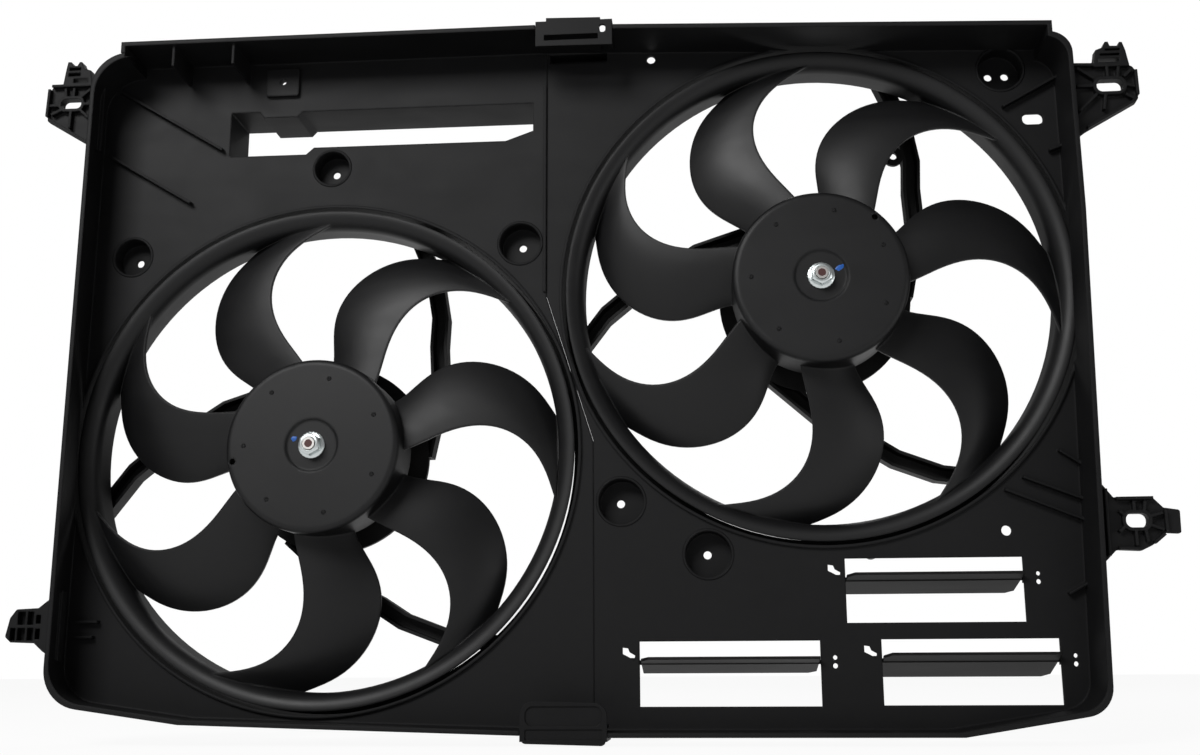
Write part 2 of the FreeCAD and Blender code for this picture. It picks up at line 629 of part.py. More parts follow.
bracket(right, [(329, -77), (336.9, -81.3), (342.8, -89.2), (366.3, -89.1, 4), (372.8, -96), (382.7, -97.5, 1.5),
                (382.4, -112.3, 1.5), (373.4, -111.8), (364.6, -119.3, 8), (357.3, -122.8, 3), (342.2, -122.1, 3),
                (336.1, -128.3), (329, -134)],
        (355.3, -104.1, 14, 9),
        [(337.5, -84, 337, -126), (343.5, -90.2, 366, -90.1), (373, -97.5, 373.2, -111), (343, -121.2, 357, -121.8),
         (365, -118, 371.6, -112.6), (354, -92, 354, -98.5), (361, -92, 359.8, -98.5), (345, -98, 347.5, -100.4),
         (344, -111, 347.5, -108), (354, -119.8, 354, -109.8), (361, -117.4, 359.8, -109.8),
         (371.2, -99.4, 363.5, -101.5), (371.2, -109.9, 363, -107)])
cut(right, 0, 22, [box(20.5, 230, 26.6, 246)])
seam_notches(right)


# Saddle clips over the seam
def seam_clip(label, place, face, raised, inner, sign, rim):
    """Face against the radiator, a wall over the rim with a raised part, and one under it."""
    made = body(label)
    x0, x1 = place[:2]
    seat = rim + sign * clip_seat
    near, far = sorted([seat.value, seat.value + sign * clip_wall.value])
    add(made, 0, clip_face, [face])
    add(made, 0, clip_depth, [box(x0, seat, x1, seat + sign * clip_wall)])
    add(made, 0, recess_depth, [raised])
    add(made, 0, clip_depth - 4, [box(x0 + 1, inner, x1 - 1, inner + sign * clip_wall)])
    return made


top_clip = seam_clip(
    "seam_clip_top", clip_places[0],
    [(-22.4, 224.2), (30.4, 223.6), (30.4, 241.6), (22.2, 242), (22.2, 243.9), (-15.1, 244.8), (-15.1, 242.2), (-22.4, 242)],
    [(-15.1, 241), (22.2, 241), (22.2, 243.9), (-15.1, 244.8)], 232.8, 1, rim_top)
cut(top_clip, 0, clip_face, [box(-16.4, 228.2, 20.6, 232.2)])
cut(top_clip, 0, clip_face, [box(21.6, 232.8, 25.8, 238.7, 1.9)])
cut(top_clip, clip_face, clip_depth, [box(20.8, 230, 26.4, 250)])
bottom_clip = seam_clip(
    "seam_clip_bottom", clip_places[1],
    [(-29.6, -234.6), (-29.6, -212.3, 8), (24.4, -213.8, 8), (24.4, -235), (22.4, -239.3, 3), (-27.4, -238, 3)],
    [(-27, -235.4), (22, -235.4), (22.4, -238.6), (-27.4, -237.4)], -227.4, -1, -rim_bottom)
cut(bottom_clip, 0, clip_face / 2, [box(-26.4, -227.6, 21.4, -215.6, 5)])
cut(bottom_clip, 0, clip_face / 2, [box(-26.4, -236, 21.4, -229.4, 1)])


# Carriers behind the barrels, with three swept struts to the motor ring
strut_path = ((0, 0), (10.6, 51), (9, 79), (10, 100), (5, 130), (-9, 163))


def strut(left_edge, right_edge):
    """Bent strip from the motor ring to the carrier ring, between two distances from the strut's line."""
    def edge(shift, stations):
        return [(strut_offset + bend + shift, up) for bend, up in stations]
    return edge(left_edge, strut_path) + edge(right_edge, strut_path[::-1])


def carrier(side):
    made = body("motor_carrier_" + side)
    spots = [polar(carrier_screw_circle, angle) for angle in carrier_screw_angles[side]]
    add(made, barrel_back, carrier_wall, circles=[(0, 0, barrel_outer), (0, 0, carrier_bore - 3)])
    for x, z in spots:
        add(made, barrel_back, carrier_wall, circles=[(x, z, lug_radius)])
    cut(made, barrel_back, carrier_wall, circles=[(0, 0, carrier_bore)])
    add(made, barrel_back, mount_ring_wall, circles=[(0, 0, mount_ring), (0, 0, can_radius + 0.5)])
    half = strut_wide / 2
    web = add(made, barrel_back + strut_depth - strut_rail, strut_rail, [strut(-half, half)])
    rail_near = add(made, barrel_back, strut_depth, [strut(-half, strut_rail - half)])
    rail_far = add(made, barrel_back, strut_depth, [strut(half - strut_rail, half)])
    around(made, [web, rail_near, rail_far], 3)
    if side == "right":
        add(made, barrel_back, 3, circles=[(59.3, 104.1, 7)])
        cut(made, barrel_back, 3, circles=[(59.3, 104.1, 2.6)])
    cut(made, barrel_back, carrier_wall, circles=[(x, z, screw_radius + seat_gap) for x, z in spots])
    spots = [polar(motor_screw_circle, angle) + (screw_radius + seat_gap,) for angle in motor_screw_angles]
    cut(made, barrel_back, mount_ring_wall, circles=spots)
    put(made, fans[side])


def screws(label, circle, angles, seat, length, centre):
    """Pan head screws entering from the back."""
    made = body(label)
    spots = [polar(circle, angle) for angle in angles]
    add(made, seat - length, length + screw_head_height, circles=[spot + (screw_radius,) for spot in spots])
    add(made, seat, screw_head_height, circles=[spot + (screw_head,) for spot in spots])
    put(made, centre)


motor_screw_angles = (30, 150, 270)


# Fan rotor: hub, band and seven swept blades in one moulding
blade_sections = (
    # share of the way from hub to band, middle angle, half the tangential chord
    (0, 17, 18.5),
    (0.17, 20.6, 20.5),
    (0.4, 22.4, 24),
    (0.63, 18.2, 26),
    (0.85, 8.4, 27.5),
    (1, -3, 27),
)


def blade_section(owner, share, angle, half):
    """Cambered plate in the plane square to the radius at the given angle."""
    made = owner.newObject("Sketcher::SketchObject", owner.Label + "_section")
    made.AttachmentSupport = [(origin_plane(owner, "YZ_Plane"), "")]
    made.MapMode = "FlatFace"
    inner = hub_radius - hub_wall
    distance = inner + (band_bore + blade_bite - inner) * share
    made.AttachmentOffset = FreeCAD.Placement(V(0, 0, 0), FreeCAD.Rotation(V(1, 0, 0), -angle))
    bind(made, "AttachmentOffset.Base.y", distance * sine(angle))
    bind(made, "AttachmentOffset.Base.z", distance * cosine(angle))
    drawing = Drawing(made)
    middle = hub_face + blade_root + (band_front + blade_tip - hub_face - blade_root) * share
    chord = root(blade_pitch * blade_pitch + half * half)
    bend = (chord * chord + blade_camber * blade_camber) / (2 * blade_camber)
    tilt = math.atan2(blade_pitch.value, half)
    faces = []
    for shift in (-blade_wall / 2, blade_wall / 2):
        centre = middle + shift + (bend - blade_camber) * math.cos(tilt)
        centre_up = -(bend.value - blade_camber.value) * math.sin(tilt)
        start = math.atan2(half - centre_up, (middle + shift + blade_pitch - centre).value)
        end = math.atan2(-half - centre_up, (middle + shift - blade_pitch - centre).value)
        circle = Part.Circle(V(centre.value, centre_up, 0), V(0, 0, 1), bend.value)
        face = drawing.add(Part.ArcOfCircle(circle, start, end))
        drawing.tie("Radius", face, bend)
        drawing.place(face, 1, middle + shift + blade_pitch, half)
        drawing.place(face, 2, middle + shift - blade_pitch, -half)
        faces.append((face, middle + shift))
    for spot, side in ((1, 1), (2, -1)):
        ends = [V((at + side * blade_pitch).value, side * half, 0) for face, at in faces]
        edge = drawing.add(Part.LineSegment(*ends))
        drawing.tie("Coincident", faces[0][0], spot, edge, 1)
        drawing.tie("Coincident", faces[1][0], spot, edge, 2)
    return drawing.finish()


band_front = floor_front - band_set
band_back = band_front + band_depth
lip_radius = barrel_bore - tip_gap
band_bore = lip_radius - lip_flare


def rotor(side):
    made = body("fan_rotor_" + side)
    face = hub_face
    back = hub_face + hub_depth
    dish = hub_face + dish_depth
    bore = shaft_radius + seat_gap
    inner = hub_radius - hub_wall
    turned(made, [
        (bore, dish), (dish_radius, dish), (dish_radius + dish_depth, face), (hub_radius, face, hub_edge),
        (hub_radius, back), (inner, back), (inner, face + hub_wall + 1), (inner - 3, face + hub_wall + dish_depth),
        (boss_radius, face + hub_wall + dish_depth), (boss_radius, face + boss_depth), (bore, face + boss_depth),
    ])
    sections = [blade_section(made, *section) for section in blade_sections]
    blade = made.newObject("PartDesign::AdditiveLoft", "blade_" + side)
    blade.Profile = sections[0]
    blade.Sections = sections[1:]
    blade.Refine = False
    around(made, [blade], blade_count)
    flare = lip_flare - band_wall
    turned(made, [
        (band_bore, band_back), (band_bore, band_front, lip_flare * 0.9), (lip_radius, band_front),
        (lip_radius, band_front + band_wall), (lip_radius - flare, band_front + band_wall, flare * 0.9),
        (band_bore + band_wall, band_back),
    ])
    cut(made, face, hub_wall + 2, circles=[polar(hub_radius - 4.4, 191 if side == "left" else 47) + (balance_hole,)])
    put(made, fans[side])


def fan_nut(side):
    """Flange nut in the dish of the hub."""
    made = body("fan_nut_" + side)
    seat = hub_face + dish_depth
    across = nut_flats / math.sqrt(3)
    hexagon = [(across * math.cos(math.radians(a)), across * math.sin(math.radians(a))) for a in range(0, 360, 60)]
    hole = (0, 0, shaft_radius + seat_gap / 2)
    add(made, seat - nut_flange_wall, nut_flange_wall, circles=[(0, 0, nut_flange), hole])
    add(made, seat - nut_height, nut_height - nut_flange_wall, [hexagon], [hole])
    put(made, fans[side])


def tube(label, radius, bore, front, length, centre):
    made = body(label)
    circles = [(0, 0, radius)] if bore is None else [(0, 0, radius), (0, 0, bore)]
    add(made, front, length, circles=circles)
    put(made, centre)
    return made


stack_front = can_front + winding_length + 4.5
stack_back = stack_front + stack_length
stack_radius = can_radius - can_wall - magnet_wall - air_gap
can_back = can_front + can_length
cover_back = can_back + cover_wall
commutator_front = stack_back + winding_length + 2
mount_back = barrel_back + mount_ring_wall


def motor(side):
    """Brushed motor: steel can, magnets, brush gear, end cover and its bushes."""
    centre = fans[side]
    name = "_" + side
    can = body("motor_can" + name)
    inside = can_radius - can_wall
    nose_front = can_front - nose_reach
    hold = bush_radius + seat_gap
    turned(can, [
        (hold, nose_front), (nose_radius, nose_front), (nose_radius, can_front), (can_radius - 2.5, can_front), (can_radius, can_front + 2.5),
        (can_radius, mount_back), (mount_radius, mount_back), (mount_radius, mount_back + mount_wall),
        (can_radius, mount_back + mount_wall), (can_radius, can_back), (inside, can_back),
        (inside, can_front + can_wall), (nose_radius, can_front + can_wall),
        (nose_radius, nose_front + bush_length), (hold, nose_front + bush_length),
    ])
    spots = [polar(motor_screw_circle, angle) + (screw_radius + seat_gap,) for angle in motor_screw_angles]
    cut(can, mount_back, mount_wall, circles=spots)
    put(can, centre)

    cover = body("motor_end_cover" + name)
    turned(cover, [
        (hold, can_back), (can_radius, can_back), (can_radius, cover_back - 1), (can_radius - 1, cover_back),
        (nose_radius + 1, cover_back),
        (nose_radius + 1, can_back + bush_length + 1), (shaft_radius + 2, can_back + bush_length + 1),
        (shaft_radius + 2, can_back + bush_length), (hold, can_back + bush_length),
    ])
    put(cover, centre)

    magnets = body("motor_magnets" + name)
    magnet = turned(magnets, [
        (inside - magnet_wall, stack_front - 2), (inside - seat_gap, stack_front - 2),
        (inside - seat_gap, stack_front - 2 + magnet_length), (inside - magnet_wall, stack_front - 2 + magnet_length),
    ], magnet_arc)
    around(magnets, [magnet], 4)
    put(magnets, centre)

    tube("bush_front" + name, bush_radius, shaft_radius + running_gap, nose_front, bush_length, centre)
    tube("bush_rear" + name, bush_radius, shaft_radius + running_gap, can_back, bush_length, centre)

    card_front = commutator_front + commutator_length - 0.5
    tube("brush_card" + name, inside - 0.2, commutator_radius + 3, card_front, card_wall, centre)
    brushes = body("brushes" + name)
    near = commutator_radius + brush_gap
    half = brush_width / 2
    add(brushes, card_front - brush_width, brush_width,
        [box(near, -half, near + brush_length, half), box(-near - brush_length, -half, -near, half)])
    put(brushes, centre)
    tube("commutator" + name, commutator_radius, shaft_radius + seat_gap, commutator_front, commutator_length, centre)
    tube("armature_core" + name, stack_radius, shaft_radius + seat_gap, stack_front, stack_length, centre)

    winding = body("armature_winding" + name)
    coil = [(0, 0, stack_radius - 3), (0, 0, nose_radius + 2)]
    add(winding, stack_front - winding_length, winding_length, circles=coil)
    add(winding, stack_back, winding_length, circles=coil)
    put(winding, centre)
    tube("motor_shaft" + name, shaft_radius, None, shaft_end, shaft_length, centre)

    socket = body("terminal_socket" + name)
    x0, x1 = can_radius * 0.35, can_radius * 0.35 + socket_width
    z0, z1 = -socket_height / 2, socket_height / 2
    add(socket, cover_back, socket_depth, [box(x0, z0, x1, z1, 2)])
    cut(socket, cover_back + socket_wall, socket_depth - socket_wall,
        [box(x0 + socket_wall, z0 + socket_wall, x1 - socket_wall, z1 - socket_wall, 1)])
    put(socket, centre)
    pins = body("terminal_pins" + name)
    middle = (x0 + x1) / 2
    add(pins, cover_back + socket_wall, socket_depth - socket_wall - 2,
        [box(middle - pin_wide - 1, -pin_wall / 2, middle - 1, pin_wall / 2),
         box(middle + 1, -pin_wall / 2, middle + 1 + pin_wide, pin_wall / 2)])
    put(pins, centre)


for side, centre in fans.items():
    carrier(side)
    screws("carrier_screws_" + side, carrier_screw_circle, carrier_screw_angles[side], carrier_back,
           carrier_wall + lug_depth - 1, centre)
    rotor(side)
    fan_nut(side)
    motor(side)
    screws("motor_screws_" + side, motor_screw_circle, motor_screw_angles, mount_back + mount_wall,
           mount_ring_wall + mount_wall + 2, centre)


# Ram air flaps: hang loose on their pins, nearly edge on to the wind
def flap(label, x0, x1, top, tilt):
    made = body(label)
    ahead = flap_drop - flap_gap
    behind = window_height - flap_drop + flap_lap
    left_end, right_end = x0 + flap_gap, x1 - flap_gap
    drawing = Drawing(sketch(made, "XY_Plane", -flap_wall / 2))
    drawing.outline([
        (left_end, flap_cut - ahead), (left_end + flap_cut, -ahead), (right_end, -ahead),
        (right_end, behind - flap_cut), (right_end - flap_cut, behind), (left_end, behind),
    ])
    blade = made.newObject("PartDesign::Pad", label + "_blade")
    blade.Profile = drawing.finish()
    blade.Refine = False
    bind(blade, "Length", flap_wall)
    drawing = Drawing(sketch(made, "YZ_Plane", x0 - pivot_length))
    drawing.circle(0, 0, pivot_radius)
    pin = made.newObject("PartDesign::Pad", label + "_pin")
    pin.Profile = drawing.finish()
    pin.Refine = False
    bind(pin, "Length", x1 - x0 + 2 * pivot_length)
    made.Placement = FreeCAD.Placement(V(0, 0, 0), FreeCAD.Rotation(V(-1, 0, 0), tilt.value))
    bind(made, "Placement.Base.y", floor_front + flap_line)
    bind(made, "Placement.Base.z", top - flap_drop)


for name, (x0, x1, top) in windows.items():
    flap("flap_" + name, x0, x1, top, flap_tilts[name])

doc.recompute()
faults = [item.Label for item in doc.Objects if "Invalid" in item.State or "Error" in item.State]
if faults:
    raise RuntimeError("failed: " + ", ".join(faults))
os.makedirs("parts", exist_ok=True)
for item in doc.Objects:
    if item.TypeId != "PartDesign::Body":
        continue
    if item.Shape.isNull() or not item.Shape.isValid():
        raise RuntimeError("bad shape: " + item.Label)
    item.Shape.exportStep("parts/%s.step" % item.Label)
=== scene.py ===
import math

import bpy
from mathutils import Matrix, Vector


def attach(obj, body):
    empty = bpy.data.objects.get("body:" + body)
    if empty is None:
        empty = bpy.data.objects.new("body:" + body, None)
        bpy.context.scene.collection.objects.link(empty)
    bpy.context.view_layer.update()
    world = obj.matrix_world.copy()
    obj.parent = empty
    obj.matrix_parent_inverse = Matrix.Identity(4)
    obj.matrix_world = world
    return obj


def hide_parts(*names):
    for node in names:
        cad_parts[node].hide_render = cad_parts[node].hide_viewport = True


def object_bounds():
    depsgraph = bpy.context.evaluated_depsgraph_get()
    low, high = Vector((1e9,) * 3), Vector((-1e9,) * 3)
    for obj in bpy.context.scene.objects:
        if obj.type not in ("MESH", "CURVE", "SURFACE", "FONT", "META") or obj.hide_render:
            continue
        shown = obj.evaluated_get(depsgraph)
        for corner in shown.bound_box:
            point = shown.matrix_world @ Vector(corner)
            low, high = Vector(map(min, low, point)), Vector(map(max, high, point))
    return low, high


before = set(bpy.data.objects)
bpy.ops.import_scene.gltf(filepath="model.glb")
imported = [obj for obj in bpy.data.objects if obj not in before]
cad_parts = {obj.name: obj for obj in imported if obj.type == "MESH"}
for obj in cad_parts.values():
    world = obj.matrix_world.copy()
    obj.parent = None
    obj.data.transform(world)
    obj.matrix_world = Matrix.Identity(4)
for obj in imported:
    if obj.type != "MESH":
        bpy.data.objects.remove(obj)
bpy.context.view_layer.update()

# The studio. The module stands on a pale floor against plain white, and is seen from the
# radiator's side, from a little below the middle and to the right, with a 40 mm lens.
# Lengths are written in millimetres, and mm turns them into metres.
mm = 0.001
picture_width = 1200
eye = Vector((88.4, -850, -193.9)) * mm
pitch, turn, roll = math.radians(12.21), math.radians(4.58), math.radians(0.25)
focal_pixels = 1350
sensor = 36


def aim():
    """Rotation of the camera: level and square on first, then tilted up, turned and rolled."""
    level = Matrix.Rotation(math.radians(90), 4, "X")
    tilted = Matrix.Rotation(pitch, 4, "X") @ level
    turned_aside = Matrix.Rotation(turn, 4, "Z") @ tilted
    return Matrix.Rotation(roll, 4, "Y") @ turned_aside


camera = bpy.data.objects.new("camera", bpy.data.cameras.new("camera"))
bpy.context.collection.objects.link(camera)
camera.matrix_world = Matrix.Translation(eye) @ aim()
camera.data.sensor_width = sensor
camera.data.lens = sensor * focal_pixels / picture_width
bpy.context.scene.camera = camera
bpy.context.scene.view_settings.view_transform = "Standard"


class Wire:
    """One output of a node, so that shader maths is written as plain sums."""

    def __init__(self, tree, socket):
        self.tree = tree
        self.socket = socket

    def maths(self, operation, first, second):
        return node(self.tree, "ShaderNodeMath", {"operation": operation}, v0=first, v1=second)

    def __add__(self, other):
        return self.maths("ADD", self, other)

    def __sub__(self, other):
        return self.maths("SUBTRACT", self, other)

    def __mul__(self, other):
        return self.maths("MULTIPLY", self, other)

    def __gt__(self, other):
        return self.maths("GREATER_THAN", self, other)

    def __radd__(self, other):
        return self.maths("ADD", other, self)

    def __rsub__(self, other):
        return self.maths("SUBTRACT", other, self)

    def __rmul__(self, other):
        return self.maths("MULTIPLY", other, self)


def node(tree, kind, settings=None, out=0, **inputs):
    """Add a node, apply its settings, then fill its sockets by name or by v and a number."""
    made = tree.nodes.new(kind)
    for name, value in (settings or {}).items():
        setattr(made, name, value)
    for name, value in inputs.items():
        socket = made.inputs[int(name[1:]) if name[1:].isdigit() else name.replace("_", " ")]
        if isinstance(value, Wire):
            tree.links.new(value.socket, socket)
        elif isinstance(value, tuple) and len(value) == 3 and len(socket.default_value) == 4:
            socket.default_value = (*value, 1)
        else:
            socket.default_value = value
    return Wire(tree, made.outputs[out])


def material(name, surface):
    """A new material whose surface comes from a function that is given its node tree."""
    made = bpy.data.materials.new(name)
    made.use_nodes = True
    tree = made.node_tree
    tree.nodes.clear()
    end = tree.nodes.new("ShaderNodeOutputMaterial")
    tree.links.new(surface(tree).socket, end.inputs["Surface"])
    return made


def wear(obj, finish):
    """Give an object one material all over."""
    obj.data.materials.clear()
    obj.data.materials.append(finish)


def rays(tree, kind):
    """1 for light rays of one kind, such as Camera, and 0 for the rest."""
    return node(tree, "ShaderNodeLightPath", out="Is %s Ray" % kind)


pale = (0.86, 0.86, 0.86)
white = (1, 1, 1)
white_share = 0.93


def studio_white(tree):
    """Pale matt floor that shows nearly white, with the shadow still on it."""
    matt = node(tree, "ShaderNodeBsdfPrincipled", Base_Color=pale, Roughness=0.9)
    glow = node(tree, "ShaderNodeEmission", Color=white, Strength=1.0)
    seen = rays(tree, "Camera") + rays(tree, "Glossy") + rays(tree, "Transmission")
    return node(tree, "ShaderNodeMixShader", v0=seen * white_share, v1=matt, v2=glow)


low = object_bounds()[0]
ground = low.z - 0.5 * mm
reach = 9000 * mm
floor_corners = [(x * reach, y * reach, ground) for x, y in ((-1, -1), (1, -1), (1, 1), (-1, 1))]
floor_mesh = bpy.data.meshes.new("floor")
floor_mesh.from_pydata(floor_corners, [], [range(4)])
sheet = bpy.data.objects.new("floor", floor_mesh)
bpy.context.collection.objects.link(sheet)
wear(sheet, material("studio_floor", studio_white))


def softbox(name, place, target, width, height, power):
    """A rectangular lamp at a place, in metres, that faces its target."""
    light = bpy.data.objects.new(name, bpy.data.lights.new(name, "AREA"))
    bpy.context.collection.objects.link(light)
    light.data.shape = "RECTANGLE"
    light.data.size = width
    light.data.size_y = height
    light.data.energy = power
    light.location = place
    light.rotation_mode = "QUATERNION"
    light.rotation_quaternion = (Vector(target) - Vector(place)).to_track_quat("-Z", "Y")


softbox("softbox_upper_left", (-0.8, -1.6, 1.1), (-0.1, 0, 0.05), 1.0, 0.7, 38)
softbox("softbox_right", (1.5, -0.7, -0.2), (0.1, 0, 0), 0.4, 0.8, 5)
softbox("softbox_behind", (0.4, 1.7, 1.7), (0, 0.05, 0), 1.4, 0.9, 9)

# What the camera sees behind the module is white. The light that the room adds is far weaker,
# and so is its mirror image in the black plastic.
seen_level, mirrored_level, room_level = 1.0, 0.22, 0.2
world = bpy.data.worlds.new("studio")
bpy.context.scene.world = world
world.use_nodes = True
room = world.node_tree
room.nodes.clear()
straight = rays(room, "Camera") + rays(room, "Transmission")
strength = (straight * (seen_level - room_level)
            + rays(room, "Glossy") * (mirrored_level - room_level) + room_level)
backdrop = node(room, "ShaderNodeBackground", Color=white, Strength=strength)
room_end = room.nodes.new("ShaderNodeOutputWorld")
room.links.new(backdrop.socket, room_end.inputs["Surface"])


# The two halves of the shroud. They are moulded in black filled nylon with a fine grain, and
# are glossier in patches and along faint marks that follow the flow of the plastic.
bump_strength = 0.25


def grain(tree, size, depth, rounding):
    """Fine moulded grain over edges that the mould leaves slightly round."""
    place = node(tree, "ShaderNodeTexCoord", out="Object")
    speckle = node(tree, "ShaderNodeTexNoise", Vector=place, Scale=1 / (size * mm), Detail=3.0,
                   Roughness=0.6)
    soft_edge = node(tree, "ShaderNodeBevel", {"samples": 4}, Radius=rounding * mm)
    return node(tree, "ShaderNodeBump", Height=speckle, Strength=bump_strength,
                Distance=depth * mm, Normal=soft_edge)


def cloud(tree, size, detail, stretch=(1, 1, 1), twist=0.0):
    """Slow variation over the surface, from 0 to 1."""
    place = node(tree, "ShaderNodeTexCoord", out="Object")
    laid = node(tree, "ShaderNodeMapping", Vector=place, Scale=stretch)
    return node(tree, "ShaderNodeTexNoise", Vector=laid, Scale=1 / (size * mm), Detail=detail,
                Distortion=twist)


def between(tree, share, first, second):
    """A colour that goes from the first to the second as share goes from 0 to 1."""
    return node(tree, "ShaderNodeMix", {"data_type": "RGBA"}, out=2, v0=share, v6=first, v7=second)


moulded_grain_depth = 0.12
patch_size, mark_size, dust_size = 90, 26, 6


def moulded(dark, light, roughness, spread, grain_size=0.9, gloss=0.2, rounding=0.7):
    """A moulded surface between two shades, glossier in patches and along flow marks."""
    def surface(tree):
        patches = cloud(tree, patch_size, 4.0, twist=0.6)
        marks = cloud(tree, mark_size, 2.0, (0.3, 1, 1), 1.2)
        dust = cloud(tree, dust_size, 5.0)
        shade = between(tree, patches * 0.5 + marks * 0.25 + dust * 0.25, dark, light)
        rough = patches * spread + marks * (spread * 0.6) + roughness
        return node(tree, "ShaderNodeBsdfPrincipled", Base_Color=shade, Roughness=rough,
                    Specular_IOR_Level=gloss,
                    Normal=grain(tree, grain_size, moulded_grain_depth, rounding))
    return surface


shroud_black = material("shroud_black", moulded(
    (0.0028, 0.0028, 0.003), (0.009, 0.009, 0.0095), 0.42, 0.18, gloss=0.15, rounding=1.8))
for panel in ("shroud_left_panel", "shroud_right_panel"):
    wear(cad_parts[panel], shroud_black)


# The low rolled rims round the six screw cups, moulded in one with the floor of the shroud.
# They stand out by three quarters of a millimetre, and catch the light as thin crescents.
def solid(name, corners, faces, finish, body, sharp):
    """A piece from corners in millimetres and faces, smooth except over its sharp edges."""
    mesh = bpy.data.meshes.new(name)
    mesh.from_pydata([Vector(corner) * mm for corner in corners], [], faces)
    mesh.shade_smooth()
    mesh.set_sharp_from_angle(angle=math.radians(sharp))
    piece = bpy.data.objects.new(name, mesh)
    bpy.context.collection.objects.link(piece)
    wear(piece, finish)
    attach(piece, body)
    return piece


def turned(centre, profile, steps, radius_at=None):
    """Corners and faces of a closed profile of (radius, y) turned about a line along Y."""
    corners = []
    for radius, y in profile:
        for step in range(steps):
            angle = 2 * math.pi * step / steps
            reached = radius if radius_at is None else radius_at(radius, y, angle)
            corners.append((centre[0] + reached * math.cos(angle), y,
                            centre[1] + reached * math.sin(angle)))
    faces = []
    for ring in range(len(profile)):
        after = (ring + 1) % len(profile)
        for step in range(steps):
            on = (step + 1) % steps
            faces.append((ring * steps + step, after * steps + step,
                          after * steps + on, ring * steps + on))
    return corners, faces


floor_face = 38
cups = {
    # x and z of the middle, and the radius
    "a": (-313.6, 93.5, 13.0),
    "b": (-172.0, 155.4, 12.2),
    "c": (-37.0, 95.6, 14.2),
    "d": (31.8, -85.0, 14.9),
    "e": (88.5, -120.3, 15.0),
    "f": (297.0, 211.5, 15.0),
}
rim_section = [
    # out from the cup's edge, and out from the floor's face
    (0.1, -0.3), (0.1, 0.35), (0.5, 0.7), (1.1, 0.75), (1.7, 0.45), (2.2, -0.3),
]
for cup, (x, z, radius) in cups.items():
    profile = [(radius + outward, floor_face - proud) for outward, proud in rim_section]
    corners, faces = turned((x, z), profile, 64)
    solid("cup_rim_" + cup, corners, faces, shroud_black, "shroud", 60)


# The two clips that hold the halves together over the seam. They are small springy mouldings
# of the same black nylon, snapped over the rims at the top and at the foot.
clip_black = material("clip_black", moulded(
    (0.003, 0.003, 0.0032), (0.009, 0.009, 0.0095), 0.42, 0.12, gloss=0.12))
for clip in ("seam_clip_top", "seam_clip_bottom"):
    wear(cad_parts[clip], clip_black)

# The motor carriers: a ring, three swept struts and the motor's ring in one moulding, screwed
# behind each barrel. The plastic is the same, with a duller face.
carrier_black = material("carrier_black", moulded(
    (0.0025, 0.0025, 0.0025), (0.007, 0.007, 0.0073), 0.46, 0.14))
sides = ("left", "right")
for side in sides:
    wear(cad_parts["motor_carrier_" + side], carrier_black)


# The motors: deep drawn steel cans and end covers with a yellowed zinc plate, with magnets,
# bushes, brushes and a wound armature sealed inside. Their cards and sockets are black plastic,
# and the screws and terminals are bright.
def metal(color, roughness, size, relief=0.04):
    """Bare or plated metal, a quarter darker in spots of one size."""
    def surface(tree):
        spangle = cloud(tree, size, 2.0)
        shade = between(tree, spangle, tuple(part * 0.75 for part in color), color)
        return node(tree, "ShaderNodeBsdfPrincipled", Base_Color=shade, Metallic=1.0,
                    Roughness=spangle * 0.15 + roughness, Normal=grain(tree, 0.6, relief, 0.3))
    return surface


finishes = {
    "zinc": material("zinc_plate", metal((0.5, 0.46, 0.38), 0.34, 4)),
    "bright": material("bright_zinc", metal((0.7, 0.75, 0.75), 0.24, 3, 0.006)),
    "copper": material("enamelled_copper", metal((0.8, 0.42, 0.27), 0.35, 2)),
    "bronze": material("sintered_bronze", metal((0.6, 0.42, 0.22), 0.45, 2)),
    "ferrite": material("ferrite", moulded(
        (0.02, 0.02, 0.021), (0.045, 0.044, 0.045), 0.5, 0.12)),
    "laminations": material("core_laminations", metal((0.42, 0.42, 0.43), 0.4, 2)),
    "carbon": material("brush_carbon", moulded(
        (0.01, 0.01, 0.01), (0.028, 0.027, 0.026), 0.55, 0.12)),
}
finish_of = {
    "motor_can": "zinc", "motor_end_cover": "zinc",
    "carrier_screws": "bright", "motor_screws": "bright", "terminal_pins": "bright",
    "armature_core": "laminations", "armature_winding": "copper", "commutator": "copper",
    "bush_front": "bronze", "bush_rear": "bronze",
    "motor_magnets": "ferrite", "brushes": "carbon",
}
for side in sides:
    for stem, finish in finish_of.items():
        wear(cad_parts["%s_%s" % (stem, side)], finishes[finish])
    for stem in ("terminal_socket", "brush_card"):
        wear(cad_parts["%s_%s" % (stem, side)], carrier_black)


# The motor shafts: ground steel, with the rust brown that the bare end takes in the middle of
# its face, inside a bright ring.
fan_axis = {"left": (-170, -48.5), "right": (166, 58)}
rust_brown, steel_grey = (0.05, 0.011, 0.009), (0.62, 0.6, 0.58)
rust_radius, rust_wander = 2.9 * mm, 0.6 * mm


